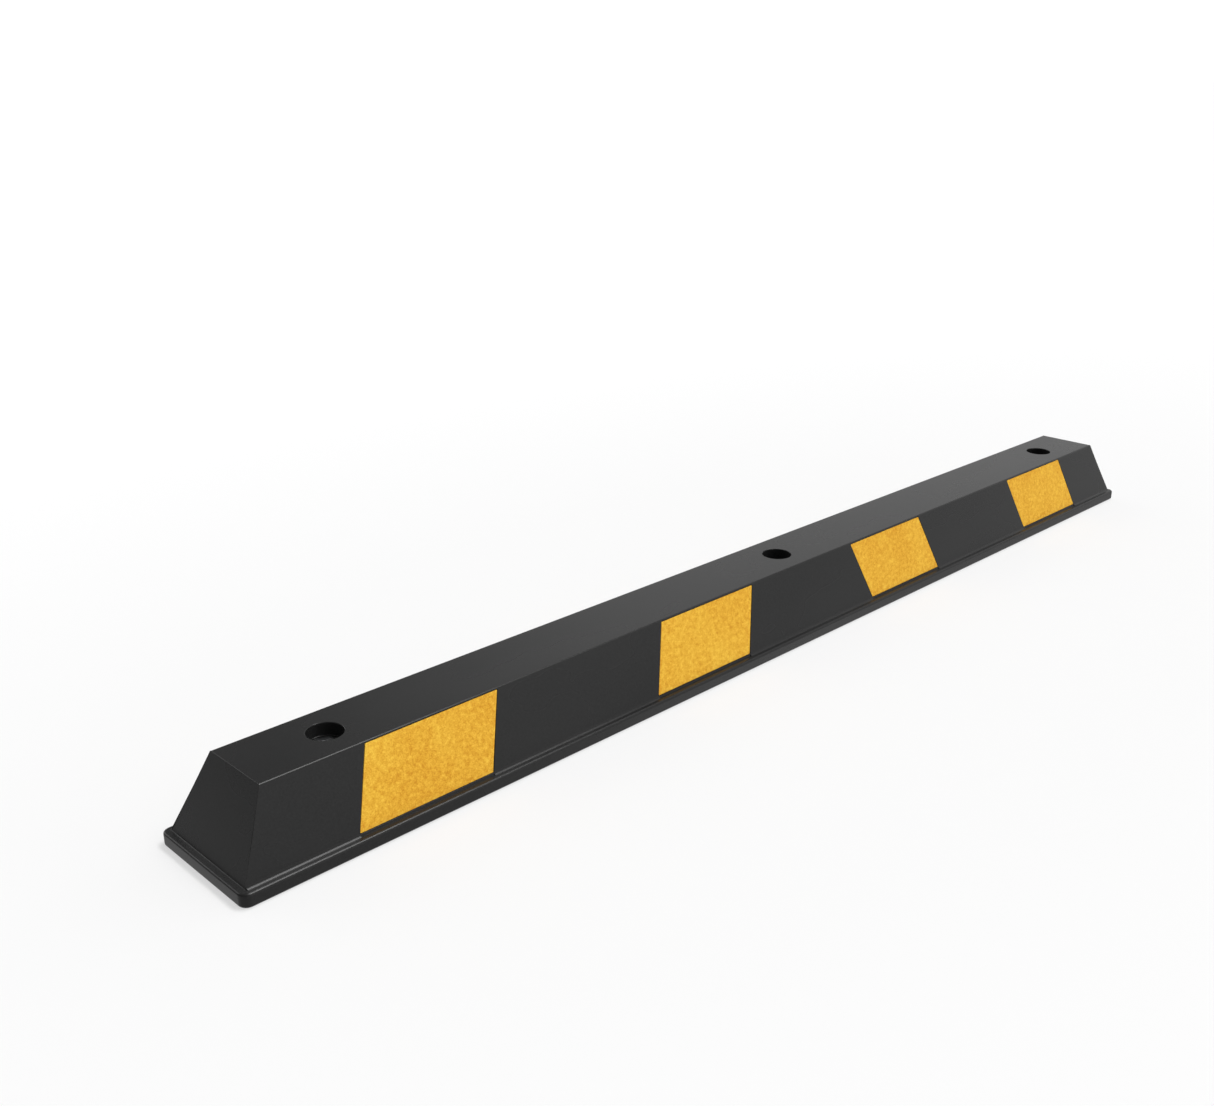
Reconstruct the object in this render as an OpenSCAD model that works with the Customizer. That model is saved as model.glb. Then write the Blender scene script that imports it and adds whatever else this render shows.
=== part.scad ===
// Moulded rubber wheel stop: a long bar of trapezoid section that stands on a thin
// foot flange. Three recessed anchor holes run down through its top, and four slanted
// reflective panels are let into each long side. The underside is cored out between
// solid bosses, so that the moulding is lighter and its walls cure evenly.
//
// Millimetres. X runs along the bar, Y across it and Z up. The origin is on the ground
// plane, under the middle of the bar. The front is the -Y side.

/* [Bar] */
// Overall length, over the foot flange
bar_l = 1650; // [1620:10:1900]
// Overall width, over the foot flange
bar_w = 150; // [140:1:200]
// Overall height
bar_h = 95; // [95:1:120]
// Length of the flat top
top_l = 1563; // [1500:1:1600]
// Width of the flat top
top_w = 85; // [70:1:110]
// Radius of the long and short edges of the top
top_edge_r = 2.5; // [0.5:0.1:3]

/* [Foot flange] */
// Thickness of the flange
flange_t = 14.5; // [8:0.5:16]
// Width of the ledge that the flange makes round the foot of the bar
ledge = 8; // [4:1:12]
// Radius of the flange's corners, seen from above
flange_corner_r = 9.5; // [5:0.5:16]
// Radius of the flange's top and bottom edges
flange_edge_r = 3; // [0.5:0.5:4]

/* [Anchor holes] */
// Distance from the middle hole to each outer hole
hole_pitch = 685.5; // [600:0.5:700]
// Diameter of the recess that takes the bolt head
recess_d = 37; // [35:1:40]
// Height of the recess floor above the ground
recess_floor = 81; // [30:1:84]
// Diameter of the hole that the anchor passes through
anchor_d = 18; // [13:1:20]

/* [Seat washers] */
// Outer diameter of the washer under the bolt head
washer_d = 34; // [26:1:34]
// Thickness of the washer
washer_t = 3; // [2:0.5:4]
// How far the washer's top lies below the recess floor
washer_sink = 0.5; // [0.2:0.1:1]

/* [Reflective panels] */
// Distance from the middle of the bar to the middle of each inner panel
inner_panel_x = 196.7; // [150:0.1:250]
// Distance from the middle of the bar to the middle of each outer panel
outer_panel_x = 602.6; // [500:0.1:610]
// Length of a panel along the bar
panel_l = 161; // [80:1:180]
// Height above the ground of a panel's bottom edge
panel_bottom = 17.4; // [16:0.1:40]
// Height above the ground of a panel's top edge
panel_top = 92.8; // [60:0.1:92.8]
// How far a panel's top edge leans towards the middle of the bar
panel_lean = 27; // [-40:1:40]
// Thickness of the reflective sheet
panel_t = 1; // [0.5:0.1:2]
// How far the sheet's face lies below the rubber
panel_sink = 0.2; // [0.1:0.1:1]
// Gap between the sheet's edge and the side of its recess
panel_gap = 0.6; // [0.2:0.1:1]

/* [Cored underside] */
// Cores between the middle hole and each outer hole
cores_per_side = 4; // [4:1:6]
// Height of the cores
core_h = 50; // [20:1:60]
// Width of a core at the ground
core_w = 88; // [60:1:96]
// Inward lean of a core's walls over its whole height, as moulding draft
core_draft = 16; // [4:1:20]
// Thickness of the ribs between the cores
rib_t = 14; // [8:1:24]
// Distance from a hole's axis to the core next to it
boss_reach = 34; // [28:1:50]
// Thickness of the end walls at the ground
end_wall_t = 42; // [30:1:60]

/* [Hidden] */
$fn = 96;

// Spare length that lets a cutting shape run past the face it cuts
over = 1;
front = 1;
rear = -1;

rubber_colour = "#2c2c2c";
panel_colour = "#eeb336";
washer_colour = "#5b5c5e";

// The bar's foot is where its sloping faces meet the flange
foot_l = bar_l - 2 * ledge;
foot_w = bar_w - 2 * ledge;
rise = bar_h - flange_t;
side_slope = atan((foot_w - top_w) / 2 / rise);

hole_x = [-hole_pitch, 0, hole_pitch];
washer_bottom = recess_floor - washer_sink - washer_t;
washer_clearance = 0.2;

panel_depth = panel_t + panel_sink;
panel_x = [-outer_panel_x, -inner_panel_x, inner_panel_x, outer_panel_x];

// The cores of one side fill the stretch between two bosses
core_run = hole_pitch - 2 * boss_reach;
core_l = (core_run - (cores_per_side - 1) * rib_t) / cores_per_side;
end_core_start = hole_pitch + boss_reach;
end_core_l = bar_l / 2 - end_wall_t - end_core_start;

// Section with straight sloping sides, and a radius on its two top corners
module bar_section(foot, top, height, r) {
    lean = atan((foot - top) / 2 / height);
    // Distance from the sharp corner to where the radius starts
    tangent = r * tan((90 - lean) / 2);
    face_x = top / 2 + tangent * sin(lean);
    face_y = height - tangent * cos(lean);
    flat_x = top / 2 - tangent;
    polygon([
        [-foot / 2, 0], [foot / 2, 0], [face_x, face_y], [flat_x, height],
        [-flat_x, height], [-face_x, face_y]
    ]);
    for (side = [-1, 1])
        translate([side * flat_x, height - r])
            circle(r = r);
}

// Flat slab with all four long corners rounded, drawn in section
module slab_section(w, t, r) {
    translate([-w / 2 + r, 0])
        square([w - 2 * r, t]);
    translate([-w / 2, r])
        square([w, t - 2 * r]);
    for (x = [-1, 1], y = [r, t - r])
        translate([x * (w / 2 - r), y])
            circle(r = r);
}

// Extrudes a section, drawn with its height upwards, along X and centred on it
module along_x(length) {
    rotate([90, 0, 90])
        linear_extrude(height = length, center = true)
            children();
}

// Extrudes a section, drawn with its height upwards, along Y and centred on it
module along_y(length) {
    rotate([90, 0, 0])
        linear_extrude(height = length, center = true)
            children();
}

// Half of a slab's section, from its middle out to its rounded side
module half_section(w, t, r) {
    intersection() {
        slab_section(2 * w, t, r);
        square([w, t]);
    }
}

// Foot flange: a straight run over the full width, a strip along each end, and a
// quarter turn at each corner. They meet face to face
module flange() {
    along_x(bar_l - 2 * flange_corner_r)
        slab_section(bar_w, flange_t, flange_edge_r);
    for (turn = [0, 180])
        rotate([0, 0, turn])
            translate([bar_l / 2 - flange_corner_r, 0, 0])
                along_y(bar_w - 2 * flange_corner_r)
                    half_section(flange_corner_r, flange_t, flange_edge_r);
    for (turn = [0, 180], side = [0, 1])
        rotate([0, 0, turn])
            mirror([0, side, 0])
                translate([bar_l / 2 - flange_corner_r, bar_w / 2 - flange_corner_r, 0])
                    rotate_extrude(angle = 90)
                        half_section(flange_corner_r, flange_t, flange_edge_r);
}

// Sloping bar above the flange: what the long section and the short one have in common
module bar() {
    translate([0, 0, flange_t])
        intersection() {
            along_x(foot_l)
                bar_section(foot_w, top_w, rise, top_edge_r);
            along_y(foot_w)
                bar_section(foot_l, top_l, rise, top_edge_r);
        }
}

// Anchor hole with the recess for the bolt head and the pocket for the seat washer
module anchor_hole() {
    translate([0, 0, -over])
        cylinder(d = anchor_d, h = bar_h + 2 * over);
    translate([0, 0, washer_bottom])
        cylinder(r = washer_d / 2 + washer_clearance, h = bar_h);
    translate([0, 0, recess_floor])
        cylinder(d = recess_d, h = bar_h);
}

// One core, open at the ground, with draft on all four walls
module core(length) {
    translate([0, 0, -over])
        intersection() {
            along_x(length)
                core_section(core_w);
            along_y(core_w)
                core_section(length);
        }
}

// Section of a core, which narrows by the draft from its mouth to its roof
module core_section(mouth) {
    polygon([
        [-mouth / 2, 0], [mouth / 2, 0],
        [mouth / 2, over], [(mouth - core_draft) / 2, core_h + over],
        [-(mouth - core_draft) / 2, core_h + over], [-mouth / 2, over]
    ]);
}

// Every core on one side of the middle, the short one beyond the outer hole included
module cores() {
    for (i = [0:cores_per_side - 1])
        translate([boss_reach + core_l / 2 + i * (core_l + rib_t), 0, 0])
            core(core_l);
    translate([end_core_start + end_core_l / 2, 0, 0])
        core(end_core_l);
}

// Places its children on a long face: their XY plane lies on the face, their X runs
// along the bar, their Y up the slope from the ground, and their Z out of the rubber
module on_face(x, side) {
    ground_y = foot_w / 2 + flange_t * tan(side_slope);
    translate([x, -side * ground_y, 0])
        mirror([0, side == rear ? 1 : 0, 0])
            rotate([90 - side_slope, 0, 0])
                children();
}

// Slanted outline of a panel, made larger all round by grow. Its top leans to the middle
module panel_outline(x, grow) {
    up_slope = 1 / cos(side_slope);
    low = panel_bottom * up_slope - grow;
    high = panel_top * up_slope + grow;
    lean = -sign(x) * panel_lean / 2;
    half = panel_l / 2 + grow;
    polygon([[-half - lean, low], [half - lean, low], [half + lean, high], [-half + lean, high]]);
}

module rubber_body() {
    color(rubber_colour)
        difference() {
            union() {
                flange();
                bar();
            }
            for (x = hole_x)
                translate([x, 0, 0])
                    anchor_hole();
            for (turn = [0, 180])
                rotate([0, 0, turn])
                    cores();
            for (x = panel_x, side = [front, rear])
                on_face(x, side)
                    translate([0, 0, -panel_depth])
                        linear_extrude(height = panel_depth + over)
                            panel_outline(x, panel_gap);
        }
}

module reflective_panel(x, side) {
    color(panel_colour)
        on_face(x, side)
            translate([0, 0, -panel_depth])
                linear_extrude(height = panel_t)
                    panel_outline(x, 0);
}

module seat_washer(x) {
    color(washer_colour)
        translate([x, 0, washer_bottom])
            difference() {
                cylinder(d = washer_d, h = washer_t);
                translate([0, 0, -over])
                    cylinder(d = anchor_d, h = washer_t + 2 * over);
            }
}

rubber_body();
reflective_panel(panel_x[0], front);  // front_panel_1
reflective_panel(panel_x[1], front);  // front_panel_2
reflective_panel(panel_x[2], front);  // front_panel_3
reflective_panel(panel_x[3], front);  // front_panel_4
reflective_panel(panel_x[0], rear);  // rear_panel_1
reflective_panel(panel_x[1], rear);  // rear_panel_2
reflective_panel(panel_x[2], rear);  // rear_panel_3
reflective_panel(panel_x[3], rear);  // rear_panel_4
seat_washer(hole_x[0]);  // seat_washer_left
seat_washer(hole_x[1]);  // seat_washer_middle
seat_washer(hole_x[2]);  // seat_washer_right
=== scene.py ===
"""Looks of a moulded rubber wheel stop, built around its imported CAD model. Metres throughout."""

import math

import bmesh
import bpy
from mathutils import Matrix, Vector


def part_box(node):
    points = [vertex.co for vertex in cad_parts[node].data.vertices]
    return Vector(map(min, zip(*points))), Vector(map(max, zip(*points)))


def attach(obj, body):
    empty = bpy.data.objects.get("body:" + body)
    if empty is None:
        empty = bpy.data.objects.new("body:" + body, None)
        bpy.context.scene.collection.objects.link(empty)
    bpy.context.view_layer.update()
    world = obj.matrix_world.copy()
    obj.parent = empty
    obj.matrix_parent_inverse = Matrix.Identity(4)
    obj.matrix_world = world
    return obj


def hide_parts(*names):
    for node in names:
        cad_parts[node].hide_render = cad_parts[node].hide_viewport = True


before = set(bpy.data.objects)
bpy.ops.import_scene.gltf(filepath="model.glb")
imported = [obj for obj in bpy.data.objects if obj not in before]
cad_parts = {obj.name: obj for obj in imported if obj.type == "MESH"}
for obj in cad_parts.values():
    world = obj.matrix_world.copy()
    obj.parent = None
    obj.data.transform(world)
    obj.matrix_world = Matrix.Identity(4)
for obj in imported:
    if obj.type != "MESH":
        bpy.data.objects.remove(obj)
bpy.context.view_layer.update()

MM = 0.001
QUARTER = math.pi / 2

# ---------------------------------------------------------------- sizes
# The overall box is that of the CAD model's body. The rest repeats the CAD model's own sizes.
BODY_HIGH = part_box("rubber_body")[1]
HALF_LENGTH = BODY_HIGH.x
HALF_WIDTH = BODY_HIGH.y
HEIGHT = BODY_HIGH.z

FLANGE_T = 14.5 * MM
LEDGE = 8 * MM
FLANGE_CORNER_R = 9.5 * MM
FLANGE_EDGE_R = 3 * MM
HALF_FOOT_L = HALF_LENGTH - LEDGE
HALF_FOOT_W = HALF_WIDTH - LEDGE
HALF_TOP_L = 1563 / 2 * MM
HALF_TOP_W = 85 / 2 * MM
TOP_EDGE_R = 2.5 * MM
RISE = HEIGHT - FLANGE_T
SIDE_LEAN = math.atan((HALF_FOOT_W - HALF_TOP_W) / RISE)

# Softening of the moulding's own edges, which the CAD model leaves sharp
FOOT_FILLET_R = 4.5 * MM
BODY_CORNER_R = 0.6 * MM
# What is left of that corner radius where the corner meets the top
CORNER_R_LEFT = 0.3 * MM
# The edges of the two ends are crisper than those of the long sides and of the CAD model
END_FLANGE_EDGE_R = 2 * MM
END_FOOT_FILLET_R = 1.2 * MM
END_TOP_EDGE_R = 0.7 * MM

ANCHOR_R = 9 * MM
ANCHOR_EASE = 0.4 * MM
RECESS_R = 18.5 * MM
RECESS_FLOOR = 81 * MM
RECESS_LIP_R = 0.9 * MM
RECESS_FLOOR_R = 0.8 * MM
WASHER_POCKET_R = 17.2 * MM
WASHER_EDGE_R = 0.5 * MM
WASHER_BURR = 0.15 * MM
WASHERS = ("seat_washer_left", "seat_washer_middle", "seat_washer_right")

SIDES = (("front", -1), ("rear", 1))
PANELS_PER_SIDE = 4
PANEL_LENGTH = 161 * MM
PANEL_LEAN = 27 * MM
PANEL_BOTTOM = 17.4 * MM
PANEL_TOP = 92.8 * MM
PANEL_T = 1 * MM
PANEL_SINK = 0.2 * MM
PANEL_GAP = 0.6 * MM
PANEL_DEPTH = PANEL_T + PANEL_SINK
PANEL_CORNER_R = 0.8 * MM
PANEL_EDGE_R = 0.3 * MM
PANEL_RECESS_CORNER_R = 1.2 * MM
PANEL_RECESS_BEVEL = 0.2 * MM

CORE_H = 50 * MM
CORE_W = 88 * MM
CORE_DRAFT = 16 * MM
CORE_CORNER_R = 8 * MM
CORE_ROOF_R = 5 * MM
CORE_MOUTH_R = 1 * MM
CORES_PER_SIDE = 4
RIB_T = 14 * MM
BOSS_REACH = 34 * MM
END_WALL_T = 42 * MM

# How far a cutting shape runs past the face that it cuts
OVER = 1 * MM
# How far a rounded lip's crown lies above the face, so that the two cross cleanly
CROWN = 0.04 * MM

# Edges between faces that meet at more than this many degrees stay sharp
BODY_SHARP_FROM = 32
SMALL_PIECE_SHARP_FROM = 40

# ---------------------------------------------------------------- studio values
# Brightness of the studio by the sine of the elevation: the floor's bounce, then the dim wall
WALL_LEVELS = ((-0.02, 0.66), (0.0, 0.23), (0.1, 0.19), (0.25, 0.2), (0.45, 0.24), (0.7, 0.2))
# Brightness that a large soft box adds, by the cosine of the angle from its middle
BOX_MIDDLE = (60, 0)
BOX_LEVELS = (
    (0.0, 0.0), (0.25, 1.05), (0.45, 0.88), (0.65, 0.77), (0.8, 1.54), (0.92, 1.58), (1.0, 0.6)
)
# The box stands on the floor and fades upwards: its share by the sine of the elevation
BOX_SHARES = ((-0.02, 0.0), (0.0, 1.0), (0.12, 0.9), (0.3, 0.5), (1.0, 0.4))
# A brighter patch of floor in front of the bar's middle, by the cosine from the patch's middle
PATCH_MIDDLE = (51.5, -25)
PATCH_LEVELS = ((0.991, 0.0), (0.9985, 1.4))
# The highest brightness that the tables above may use
LEVEL_CEILING = 2.0
# Brightness of the sweep of paper that the camera sees behind the floor
SWEEP_LEVEL = 1.1

# A row of soft suns: angles up from the front, lean along the bar, energy, and width in degrees
STRIP_DEGREES = (65, 75, 85, 95)
STRIP_ALONG = 0.38
STRIP_ENERGY = 0.57
STRIP_WIDTH = 20
# A shadowless sun for the rear face
FILL_HEADING = (190, 28)
FILL_ENERGY = 0.75
FILL_WIDTH = 40

FLOOR_HALF = 60.0
FLOOR_GREY = 0.35
# The floor's glow round the bar and far away, and the distances that it changes between
# The weaker glow near the bar is a painted soft shadow
GLOW_NEAR, GLOW_FAR = 0.559, 0.606
GLOW_START, GLOW_END = 0.5, 1.5
# Distances along the bar count less by this factor, so that the glow changes in an oval
GLOW_ALONG = 0.55

CAMERA_AIM = (0.0221, 0.3335, 0.0007)
CAMERA_HEADING = (-44.81, 20.57)
CAMERA_DISTANCE = 1.9655
CAMERA_ROLL = 0.22
CAMERA_LENS = 38.9


# ---------------------------------------------------------------- places
def centre_x(node):
    low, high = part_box(node)
    return (low.x + high.x) / 2


def panels():
    """Each panel's CAD node, the middle of its box along the bar, and its side as a sign of Y."""
    for name, side in SIDES:
        for number in range(1, PANELS_PER_SIDE + 1):
            node = f"{name}_panel_{number}"
            yield node, centre_x(node), side


def heading(azimuth, elevation):
    """Direction from the origin. Azimuth 0 is -Y and 90 is +X, in degrees."""
    a, e = math.radians(azimuth), math.radians(elevation)
    return Vector((math.sin(a) * math.cos(e), -math.cos(a) * math.cos(e), math.sin(e)))


# ---------------------------------------------------------------- mesh helpers
def new_object(name, data):
    obj = bpy.data.objects.new(name, data)
    bpy.context.scene.collection.objects.link(obj)
    return obj


def arc(centre, radius, start, end, steps):
    """Points on an arc in a section: (distance out, height), angles in radians from outward."""
    out, up = centre
    angles = [start + (end - start) * i / steps for i in range(steps + 1)]
    return [(out + radius * math.cos(a), up + radius * math.sin(a)) for a in angles]


def skin(bm, rings, closed=False):
    """Faces between equal rings of points, and from the last ring to the first if closed."""
    rows = [[bm.verts.new(p) for p in ring] for ring in rings]
    count = len(rows[0])
    for low, high in zip(rows, rows[1:] + rows[:1] if closed else rows[1:]):
        for i in range(count):
            j = (i + 1) % count
            bm.faces.new((low[i], low[j], high[j], high[i]))
    return rows


def loft(rings):
    """A closed bmesh through equal rings of points, with both ends capped."""
    bm = bmesh.new()
    rows = skin(bm, rings)
    bm.faces.new(list(reversed(rows[0])))
    bm.faces.new(rows[-1])
    bmesh.ops.recalc_face_normals(bm, faces=bm.faces[:])
    return bm


def rounded_ring(end, side, corner_r, steps=8):
    """A plan outline with round corners. end and side are each (half extent, height)."""
    points = []
    for sx, sy, first in ((1, 1, 0), (-1, 1, 90), (-1, -1, 180), (1, -1, 270)):
        for i in range(steps + 1):
            a = math.radians(first + 90 * i / steps)
            along_end = math.cos(a) ** 2
            points.append(Vector((
                sx * (end[0] - corner_r) + corner_r * math.cos(a),
                sy * (side[0] - corner_r) + corner_r * math.sin(a),
                end[1] * along_end + side[1] * (1 - along_end),
            )))
    return points


def circle_ring(radius, height, x, segments=72):
    turn = 2 * math.pi / segments
    return [
        Vector((x + radius * math.cos(i * turn), radius * math.sin(i * turn), height))
        for i in range(segments)
    ]


def join_bmeshes(parts, name):
    """One mesh from several bmeshes."""
    mesh = bpy.data.meshes.new(name)
    whole = bmesh.new()
    for part in parts:
        part.to_mesh(mesh)
        part.free()
        whole.from_mesh(mesh)
    whole.to_mesh(mesh)
    whole.free()
    return mesh


def cut(obj, cutters, name):
    """Subtracts the cutting bmeshes from obj."""
    cutter = new_object(name, join_bmeshes(cutters, name))
    modifier = obj.modifiers.new("cut", "BOOLEAN")
    modifier.operation = "DIFFERENCE"
    modifier.solver = "EXACT"
    modifier.object = cutter
    evaluated = obj.evaluated_get(bpy.context.evaluated_depsgraph_get())
    mesh = bpy.data.meshes.new_from_object(evaluated)
    obj.modifiers.clear()
    obj.data = mesh
    bpy.data.objects.remove(cutter)


# ---------------------------------------------------------------- rubber body
def bar_section(half_flange, half_foot, half_top, flange_r, foot_r, top_r):
    """Section from the underside's rim out round the flange and up to the flat top.

    The rim's own radius is the same all round. The three radii are those of the edges above it.
    """
    lean = math.atan((half_foot - half_top) / RISE)
    rim = (half_flange - FLANGE_EDGE_R, FLANGE_EDGE_R)
    shoulder = (half_flange - flange_r, FLANGE_T - flange_r)
    foot = (half_foot + foot_r * (1 - math.sin(lean)) / math.cos(lean), FLANGE_T + foot_r)
    crown = (half_top - top_r * math.tan((QUARTER - lean) / 2), HEIGHT - top_r)
    flange = arc(rim, FLANGE_EDGE_R, -QUARTER, 0, 5) + arc(shoulder, flange_r, 0, QUARTER, 6)
    fillet = arc(foot, foot_r, 3 * QUARTER, 2 * QUARTER + lean, 6)
    top = arc(crown, top_r, lean, QUARTER, 7)
    return flange, fillet, top


def rubber_outside():
    """The moulding's outside, as rings that run round it in plan from the ground up."""
    side_radii = (FLANGE_EDGE_R, FOOT_FILLET_R, TOP_EDGE_R)
    end_radii = (END_FLANGE_EDGE_R, END_FOOT_FILLET_R, END_TOP_EDGE_R)
    side_parts = bar_section(HALF_WIDTH, HALF_FOOT_W, HALF_TOP_W, *side_radii)
    end_parts = bar_section(HALF_LENGTH, HALF_FOOT_L, HALF_TOP_L, *end_radii)
    # A corner radius for each part of the section, and the half width at which it holds.
    # It grows and shrinks with the ring's half width, as an offset outline's radius does.
    corners = (
        (FLANGE_CORNER_R, HALF_WIDTH),
        (BODY_CORNER_R, HALF_FOOT_W),
        (BODY_CORNER_R, side_parts[2][0][0]),
    )
    rings = []
    for sides, ends, (radius, at) in zip(side_parts, end_parts, corners):
        for side, end in zip(sides, ends):
            rings.append(rounded_ring(end, side, max(radius + side[0] - at, CORNER_R_LEFT)))
    return loft(rings)


def anchor_hole(washer):
    """Cutter: through hole, washer pocket and bolt head recess, with eased edges."""
    x = centre_x(washer)
    washer_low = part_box(washer)[0].z
    floor = (RECESS_R - RECESS_FLOOR_R, RECESS_FLOOR + RECESS_FLOOR_R)
    lip = (RECESS_R + RECESS_LIP_R, HEIGHT - RECESS_LIP_R + CROWN)
    profile = [
        (ANCHOR_R + OVER + ANCHOR_EASE, -OVER), (ANCHOR_R, ANCHOR_EASE),
        (ANCHOR_R, washer_low - ANCHOR_EASE), (ANCHOR_R + ANCHOR_EASE, washer_low),
        (WASHER_POCKET_R, washer_low), (WASHER_POCKET_R, RECESS_FLOOR),
    ]
    # The floor's round only has the ring of rubber between the pocket and the recess
    floor_round = arc(floor, RECESS_FLOOR_R, -QUARTER, 0, 4)
    profile += [point for point in floor_round if point[0] > WASHER_POCKET_R]
    profile += arc(lip, RECESS_LIP_R, 2 * QUARTER, QUARTER, 6)
    return loft([circle_ring(radius, height, x) for radius, height in profile])


def core(x, length):
    """Cutter: one drafted core under the bar, with round corners and an eased mouth."""
    lean = math.atan(CORE_DRAFT / 2 / CORE_H)
    rings = []

    def ring(inset, height, corner_r):
        half_l, half_w = length / 2 - inset, CORE_W / 2 - inset
        outline = rounded_ring((half_l, height), (half_w, height), corner_r, 6)
        rings.append([p + Vector((x, 0, 0)) for p in outline])

    for out, up in arc((-CORE_MOUTH_R, CORE_MOUTH_R - CROWN), CORE_MOUTH_R, -QUARTER, 0, 4):
        ring(out, up, CORE_CORNER_R - out)
    roof_start = CORE_H - CORE_ROOF_R
    wall_inset = CORE_DRAFT / 2 * roof_start / CORE_H
    for out, up in arc((0, 0), CORE_ROOF_R, lean, QUARTER, 5):
        ring(wall_inset + CORE_ROOF_R - out, roof_start + up, CORE_CORNER_R - CORE_ROOF_R + out)
    return loft(rings)


def cores():
    """Cutters for every core: equal ones between the holes, a short one at each end."""
    pitch = max(centre_x(washer) for washer in WASHERS)
    length = (pitch - 2 * BOSS_REACH - (CORES_PER_SIDE - 1) * RIB_T) / CORES_PER_SIDE
    end_start = pitch + BOSS_REACH
    end_length = HALF_LENGTH - END_WALL_T - end_start
    made = []
    for side in (-1, 1):
        for i in range(CORES_PER_SIDE):
            made.append(core(side * (BOSS_REACH + length / 2 + i * (length + RIB_T)), length))
        made.append(core(side * (end_start + end_length / 2), end_length))
    return made


# ---------------------------------------------------------------- panels
def face_matrix(x, side):
    """Places a panel's own frame: X along the bar, Y up the slope from the ground, Z out."""
    ground = HALF_FOOT_W + FLANGE_T * math.tan(SIDE_LEAN)
    up = Vector((0, -side * math.sin(SIDE_LEAN), math.cos(SIDE_LEAN)))
    out = Vector((0, side * math.cos(SIDE_LEAN), math.sin(SIDE_LEAN)))
    along = Vector((1, 0, 0))
    rotation = Matrix((along, up, out)).transposed().to_4x4()
    return Matrix.Translation((x, side * ground, 0)) @ rotation


def slanted_ring(x, grow, height, corner_r, steps=4):
    """A panel's slanted outline, made larger by grow, with small round corners."""
    up_slope = 1 / math.cos(SIDE_LEAN)
    low = PANEL_BOTTOM * up_slope - grow
    high = PANEL_TOP * up_slope + grow
    lean = -math.copysign(PANEL_LEAN / 2, x)
    half = PANEL_LENGTH / 2 + grow
    corners = [
        Vector((-half - lean, low)), Vector((half - lean, low)),
        Vector((half + lean, high)), Vector((-half + lean, high)),
    ]
    points = []
    for i, corner in enumerate(corners):
        before = (corners[i - 1] - corner).normalized()
        after = (corners[(i + 1) % 4] - corner).normalized()
        half_angle = before.angle(after) / 2
        middle = corner + (before + after).normalized() * corner_r / math.sin(half_angle)
        start = corner + before * corner_r / math.tan(half_angle) - middle
        end = corner + after * corner_r / math.tan(half_angle) - middle
        for k in range(steps + 1):
            spoke = start.lerp(end, k / steps).normalized() * corner_r
            points.append(Vector((middle.x + spoke.x, middle.y + spoke.y, height)))
    return points


def on_face(rings, x, side):
    """A closed bmesh through rings drawn in a panel's own frame, put in its place."""
    bm = loft(rings)
    bmesh.ops.transform(bm, matrix=face_matrix(x, side), verts=bm.verts[:])
    bmesh.ops.recalc_face_normals(bm, faces=bm.faces[:])
    return bm


def panel_recess(x, side):
    """Cutter: the shallow recess that a panel sits in, with a small bevel at its rim."""
    widening = PANEL_RECESS_BEVEL + OVER
    rings = [
        slanted_ring(x, PANEL_GAP, -PANEL_DEPTH, PANEL_RECESS_CORNER_R),
        slanted_ring(x, PANEL_GAP, -PANEL_RECESS_BEVEL, PANEL_RECESS_CORNER_R),
        slanted_ring(x, PANEL_GAP + widening, OVER, PANEL_RECESS_CORNER_R + widening),
    ]
    return on_face(rings, x, side)


def fillet_gap(x, side):
    """Cutter: clears the foot fillet away below a panel, down to the ledge."""
    low, high = FLANGE_T + CROWN, PANEL_BOTTOM
    inner = [HALF_FOOT_W - CROWN - (z - FLANGE_T) * math.tan(SIDE_LEAN) for z in (low, high)]
    outer = HALF_FOOT_W + FOOT_FILLET_R
    section = [(inner[0], low), (outer, low), (outer, high), (inner[1], high)]
    middle = x + math.copysign(PANEL_LEAN / 2, x)
    half = PANEL_LENGTH / 2 + PANEL_GAP
    ends = (middle - half, middle + half)
    return loft([[Vector((end, side * out, up)) for out, up in section] for end in ends])


def reflective_panel(x, side):
    """The sheet itself: a thin slanted plate whose outer edge is gently rounded."""
    rings = [slanted_ring(x, 0, -PANEL_DEPTH, PANEL_CORNER_R)]
    edge = (-PANEL_EDGE_R, -PANEL_SINK - PANEL_EDGE_R)
    for out, up in arc(edge, PANEL_EDGE_R, 0, QUARTER, 4):
        rings.append(slanted_ring(x, out, up, PANEL_CORNER_R + out))
    return on_face(rings, x, side)


# ---------------------------------------------------------------- washers
def seat_washer(low, high):
    """A pressed washer: rounded on its punched top edges, sharper below."""
    x = (low.x + high.x) / 2
    outer = (high.x - low.x) / 2
    crown = high.z - WASHER_EDGE_R
    section = [
        (ANCHOR_R + WASHER_BURR, low.z), (outer - WASHER_BURR, low.z), (outer, low.z + WASHER_BURR)
    ]
    section += arc((outer - WASHER_EDGE_R, crown), WASHER_EDGE_R, 0, QUARTER, 4)
    section += arc((ANCHOR_R + WASHER_EDGE_R, crown), WASHER_EDGE_R, QUARTER, 2 * QUARTER, 4)
    section += [(ANCHOR_R, low.z + WASHER_BURR)]
    bm = bmesh.new()
    skin(bm, [circle_ring(radius, height, x) for radius, height in section], closed=True)
    bmesh.ops.recalc_face_normals(bm, faces=bm.faces[:])
    return bm


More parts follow.
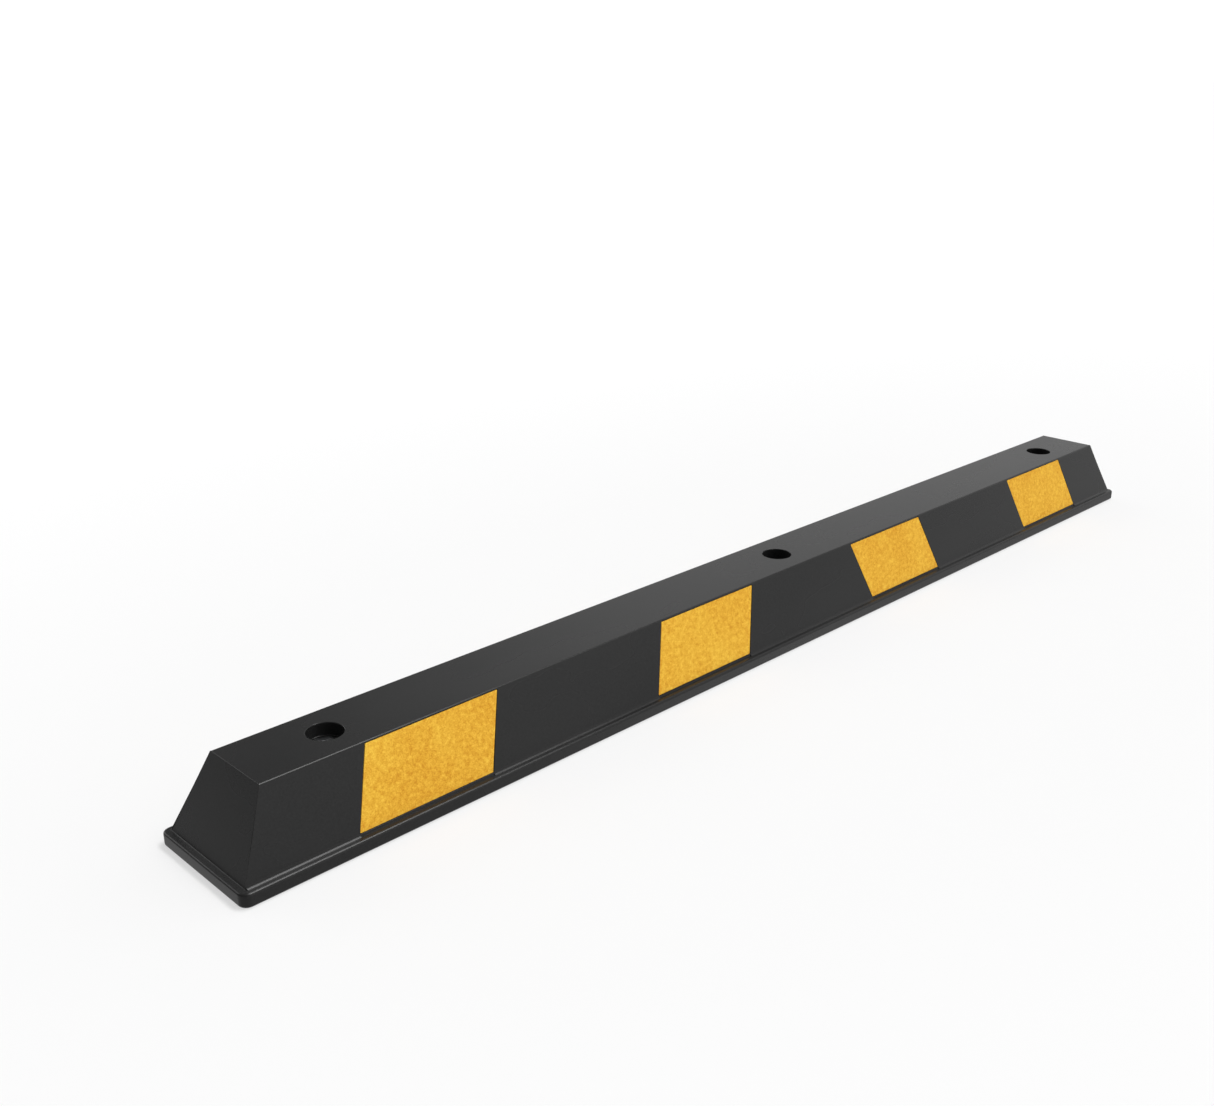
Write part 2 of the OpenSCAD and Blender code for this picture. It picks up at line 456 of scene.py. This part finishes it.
# ---------------------------------------------------------------- materials
class Nodes:
    """Short ways to add nodes to a node tree and link them."""

    def __init__(self, tree):
        self.tree = tree

    def feed(self, socket, value):
        """Links a socket to another node's output, or sets its own value."""
        if isinstance(value, bpy.types.NodeSocket):
            self.tree.links.new(value, socket)
        else:
            socket.default_value = value

    def add(self, kind, inputs=None, **settings):
        node = self.tree.nodes.new(kind)
        for key, value in settings.items():
            setattr(node, key, value)
        for key, value in (inputs or {}).items():
            self.feed(node.inputs[key], value)
        return node

    def combine(self, operation, *values):
        """The result of a Math node."""
        return self.add("ShaderNodeMath", dict(enumerate(values)), operation=operation).outputs[0]

    def ramp(self, factor, stops):
        """Colours between (position, colour) stops."""
        node = self.add("ShaderNodeValToRGB", {"Fac": factor})
        elements = node.color_ramp.elements
        while len(elements) < len(stops):
            elements.new(0.5)
        for element, (position, colour) in zip(elements, stops):
            element.position = position
            element.color = (*colour, 1)
        return node.outputs["Color"]


class Surface(Nodes):
    """A new node material around one Principled shader."""

    def __init__(self, name):
        self.material = bpy.data.materials.new(name)
        self.material.use_nodes = True
        super().__init__(self.material.node_tree)
        self.shader = self.tree.nodes["Principled BSDF"]
        self.place = self.add("ShaderNodeTexCoord").outputs["Object"]

    def noise(self, scale, detail=2.0, roughness=0.5, stretch=(1, 1, 1)):
        """Noise with cells of about 1 / scale metres."""
        spread = self.add("ShaderNodeMapping", {"Vector": self.place, "Scale": stretch})
        inputs = {"Vector": spread.outputs["Vector"], "Scale": scale, "Detail": detail,
                  "Roughness": roughness}
        return self.add("ShaderNodeTexNoise", inputs).outputs["Fac"]

    def mix(self, share, a, b):
        return self.add("ShaderNodeMix", {"Factor": share, "A": a, "B": b}).outputs["Result"]

    def span(self, factor, low, high):
        """Maps 0.3 to 0.7, where noise mostly lies, onto low to high."""
        inputs = {"Value": factor, "From Min": 0.3, "From Max": 0.7, "To Min": low, "To Max": high}
        return self.add("ShaderNodeMapRange", inputs).outputs["Result"]

    def bump(self, height, distance, strength, normal=None):
        inputs = {"Height": height, "Distance": distance, "Strength": strength}
        if normal is not None:
            inputs["Normal"] = normal
        return self.add("ShaderNodeBump", inputs).outputs["Normal"]

    def set(self, **values):
        """Sets or links sockets of the shader, by name with _ for a space."""
        for key, value in values.items():
            self.feed(self.shader.inputs[key.replace("_", " ")], value)


def rubber_material():
    """Moulded black rubber, with slow changes of tone and a fine grain."""
    n = Surface("moulded_rubber")
    flow = n.noise(9, detail=3, stretch=(0.5, 1, 1))
    grain = n.noise(1500, detail=2, roughness=0.6)
    pores = n.noise(420, detail=2)
    tone = n.mix(0.5, flow, pores)
    colour = n.ramp(tone, [(0.37, (0.0138, 0.0138, 0.0138)), (0.63, (0.0186, 0.0186, 0.0186))])
    n.set(Base_Color=colour, Roughness=n.span(flow, 0.25, 0.29), Specular_IOR_Level=0.22)
    coarse = n.bump(pores, 0.06 * MM, 0.35)
    n.set(Normal=n.bump(grain, 0.05 * MM, 0.4, coarse))
    return n.material


def reflective_material():
    """Yellow beaded sheet, mottled and unevenly faded."""
    n = Surface("reflective_sheet")
    beads = n.noise(750, detail=2, roughness=0.6)
    mottle = n.noise(210, detail=3, roughness=0.6)
    wear = n.noise(26, detail=2, stretch=(1, 0.5, 0.5))
    mixed = n.mix(0.16, n.mix(0.5, mottle, beads), wear)
    colour = n.ramp(mixed, [
        (0.37, (0.72, 0.302, 0.022)), (0.5, (0.868, 0.463, 0.0455)), (0.63, (1.0, 0.635, 0.077)),
    ])
    n.set(Base_Color=colour, Roughness=n.span(beads, 0.6, 0.85), Specular_IOR_Level=0.08)
    n.set(Normal=n.bump(beads, 0.08 * MM, 0.5))
    return n.material


def steel_material():
    """Dark steel, with a cloudy bloom and fine scratches."""
    n = Surface("zinc_plated_steel")
    bloom = n.noise(160, detail=4, roughness=0.6)
    scratches = n.noise(900, detail=2, stretch=(0.15, 1, 1))
    colour = n.ramp(bloom, [(0.35, (0.08, 0.082, 0.086)), (0.65, (0.15, 0.152, 0.155))])
    n.set(Base_Color=colour, Metallic=1.0, Roughness=n.span(bloom, 0.35, 0.55))
    n.set(Normal=n.bump(scratches, 0.03 * MM, 0.5))
    return n.material


def floor_material():
    """Pale paper with a glow of its own, so that shadows on it stay soft and light.

    The glow is a little weaker in an oval round the bar: a painted soft shadow.
    """
    n = Surface("studio_floor")
    shrink = {0: n.place, 1: (GLOW_ALONG, 1, 1)}
    oval = n.add("ShaderNodeVectorMath", shrink, operation="MULTIPLY")
    far = n.add("ShaderNodeVectorMath", {0: oval.outputs["Vector"]}, operation="LENGTH")
    reach = {"Value": far.outputs["Value"], "From Min": GLOW_START, "From Max": GLOW_END}
    away = n.add("ShaderNodeMapRange", reach).outputs["Result"]
    # Painted soft shadow: the glow is weaker near the bar than far away
    glow = n.ramp(away, [(0.0, (GLOW_NEAR,) * 3), (1.0, (GLOW_FAR,) * 3)])
    n.set(Base_Color=(FLOOR_GREY, FLOOR_GREY, FLOOR_GREY, 1), Roughness=1.0)
    n.set(Emission_Color=glow, Emission_Strength=1.0, Specular_IOR_Level=0.0)
    return n.material


# ---------------------------------------------------------------- pieces
def dress(obj, material, slot, sharp_from, *nodes):
    """Finishes a piece: its material, shading, the CAD nodes it stands for, and its body."""
    obj.data.materials.clear()
    obj.data.materials.append(material)
    obj.data.shade_smooth()
    obj.data.set_sharp_from_angle(angle=math.radians(sharp_from))
    weighted = obj.modifiers.new("weighted_normals", "WEIGHTED_NORMAL")
    weighted.keep_sharp = True
    weighted.weight = 100
    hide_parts(*nodes)
    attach(obj, "root")


def make_body():
    body = new_object("bar_moulding", join_bmeshes([rubber_outside()], "bar_moulding"))
    cut(body, [fillet_gap(x, side) for _, x, side in panels()], "gaps")
    holes = [anchor_hole(washer) for washer in WASHERS]
    recesses = [panel_recess(x, side) for _, x, side in panels()]
    cut(body, holes + cores() + recesses, "cutters")
    dress(body, rubber_material(), "moulded_rubber", BODY_SHARP_FROM, "rubber_body")


def make_panels():
    material = reflective_material()
    for node, x, side in panels():
        name = f"{node}_sheet"
        sheet = new_object(name, join_bmeshes([reflective_panel(x, side)], name))
        dress(sheet, material, "reflective_sheet", SMALL_PIECE_SHARP_FROM, node)


def make_washers():
    material = steel_material()
    for node in WASHERS:
        name = f"{node}_pressed"
        washer = new_object(name, join_bmeshes([seat_washer(*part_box(node))], name))
        dress(washer, material, "zinc_plated_steel", SMALL_PIECE_SHARP_FROM, node)


# ---------------------------------------------------------------- studio
def make_floor():
    """A pale floor out to the horizon. It doesn't bounce light back onto the object."""
    bm = bmesh.new()
    corners = ((-1, -1), (1, -1), (1, 1), (-1, 1))
    bm.faces.new([bm.verts.new((FLOOR_HALF * x, FLOOR_HALF * y, 0)) for x, y in corners])
    floor = new_object("studio_floor", join_bmeshes([bm], "studio_floor"))
    floor.data.materials.append(floor_material())
    floor.visible_glossy = False
    floor.visible_diffuse = False


def make_world():
    """Soft white studio: a dim wall all round, and a large soft box in front and right."""
    world = bpy.data.worlds.new("studio")
    world.use_nodes = True
    bpy.context.scene.world = world
    n = Nodes(world.node_tree)
    direction = n.add("ShaderNodeTexCoord").outputs["Generated"]
    up = n.add("ShaderNodeSeparateXYZ", {0: direction}).outputs["Z"]

    def levels(cosine, pairs):
        """Brightness that follows a cosine, from (cosine, brightness) pairs."""
        spread = n.add("ShaderNodeMapRange", {"Value": cosine, "From Min": -1})
        stops = [((c + 1) / 2, (level / LEVEL_CEILING,) * 3) for c, level in pairs]
        share = n.ramp(spread.outputs["Result"], stops)
        return n.combine("MULTIPLY", share, LEVEL_CEILING)

    def cosine_from(middle):
        """Cosine of the angle between a direction and a heading."""
        inputs = {0: direction, 1: heading(*middle)}
        return n.add("ShaderNodeVectorMath", inputs, operation="DOT_PRODUCT").outputs["Value"]

    box = levels(cosine_from(BOX_MIDDLE), BOX_LEVELS)
    patch = levels(cosine_from(PATCH_MIDDLE), PATCH_LEVELS)
    total = n.combine("MULTIPLY_ADD", box, levels(up, BOX_SHARES), levels(up, WALL_LEVELS))
    total = n.combine("ADD", patch, total)
    studio = n.tree.nodes["Background"]
    n.feed(studio.inputs["Color"], (1, 1, 1, 1))
    n.feed(studio.inputs["Strength"], total)
    # Behind the object itself the studio is a plain white paper sweep
    sweep = n.add("ShaderNodeBackground", {"Color": (1, 1, 1, 1), "Strength": SWEEP_LEVEL})
    seen = n.add("ShaderNodeLightPath").outputs["Is Camera Ray"]
    both = n.add("ShaderNodeMixShader", {0: seen, 1: studio.outputs[0], 2: sweep.outputs[0]})
    n.feed(n.tree.nodes["World Output"].inputs["Surface"], both.outputs[0])


def soft_sun(name, towards, energy, degrees):
    """A far light of the given width, in the given direction from the bar."""
    data = bpy.data.lights.new(name, "SUN")
    data.energy = energy
    data.angle = math.radians(degrees)
    lamp = new_object(name, data)
    lamp.rotation_euler = towards.to_track_quat("Z", "Y").to_euler()
    return data


def make_lamps():
    """A strip of soft suns from high in front to overhead, and a fill for the rear face."""
    across = math.sqrt(1 - STRIP_ALONG * STRIP_ALONG)
    for degrees in STRIP_DEGREES:
        a = math.radians(degrees)
        towards = Vector((STRIP_ALONG, -across * math.cos(a), across * math.sin(a)))
        soft_sun(f"strip_{degrees}", towards, STRIP_ENERGY, STRIP_WIDTH)
    fill = soft_sun("rear_fill", heading(*FILL_HEADING), FILL_ENERGY, FILL_WIDTH)
    fill.use_shadow = False


def make_camera():
    """Low three-quarter view along the bar, from beyond its left end."""
    back = heading(*CAMERA_HEADING)
    data = bpy.data.cameras.new("camera")
    data.lens = CAMERA_LENS
    camera = new_object("camera", data)
    camera.rotation_mode = "QUATERNION"
    camera.location = Vector(CAMERA_AIM) + back * CAMERA_DISTANCE
    roll = Matrix.Rotation(math.radians(CAMERA_ROLL), 4, "Z").to_quaternion()
    camera.rotation_quaternion = (-back).to_track_quat("-Z", "Y") @ roll
    bpy.context.scene.camera = camera


make_body()
make_panels()
make_washers()
make_floor()
make_world()
make_lamps()
make_camera()
bpy.context.scene.view_settings.view_transform = "Standard"
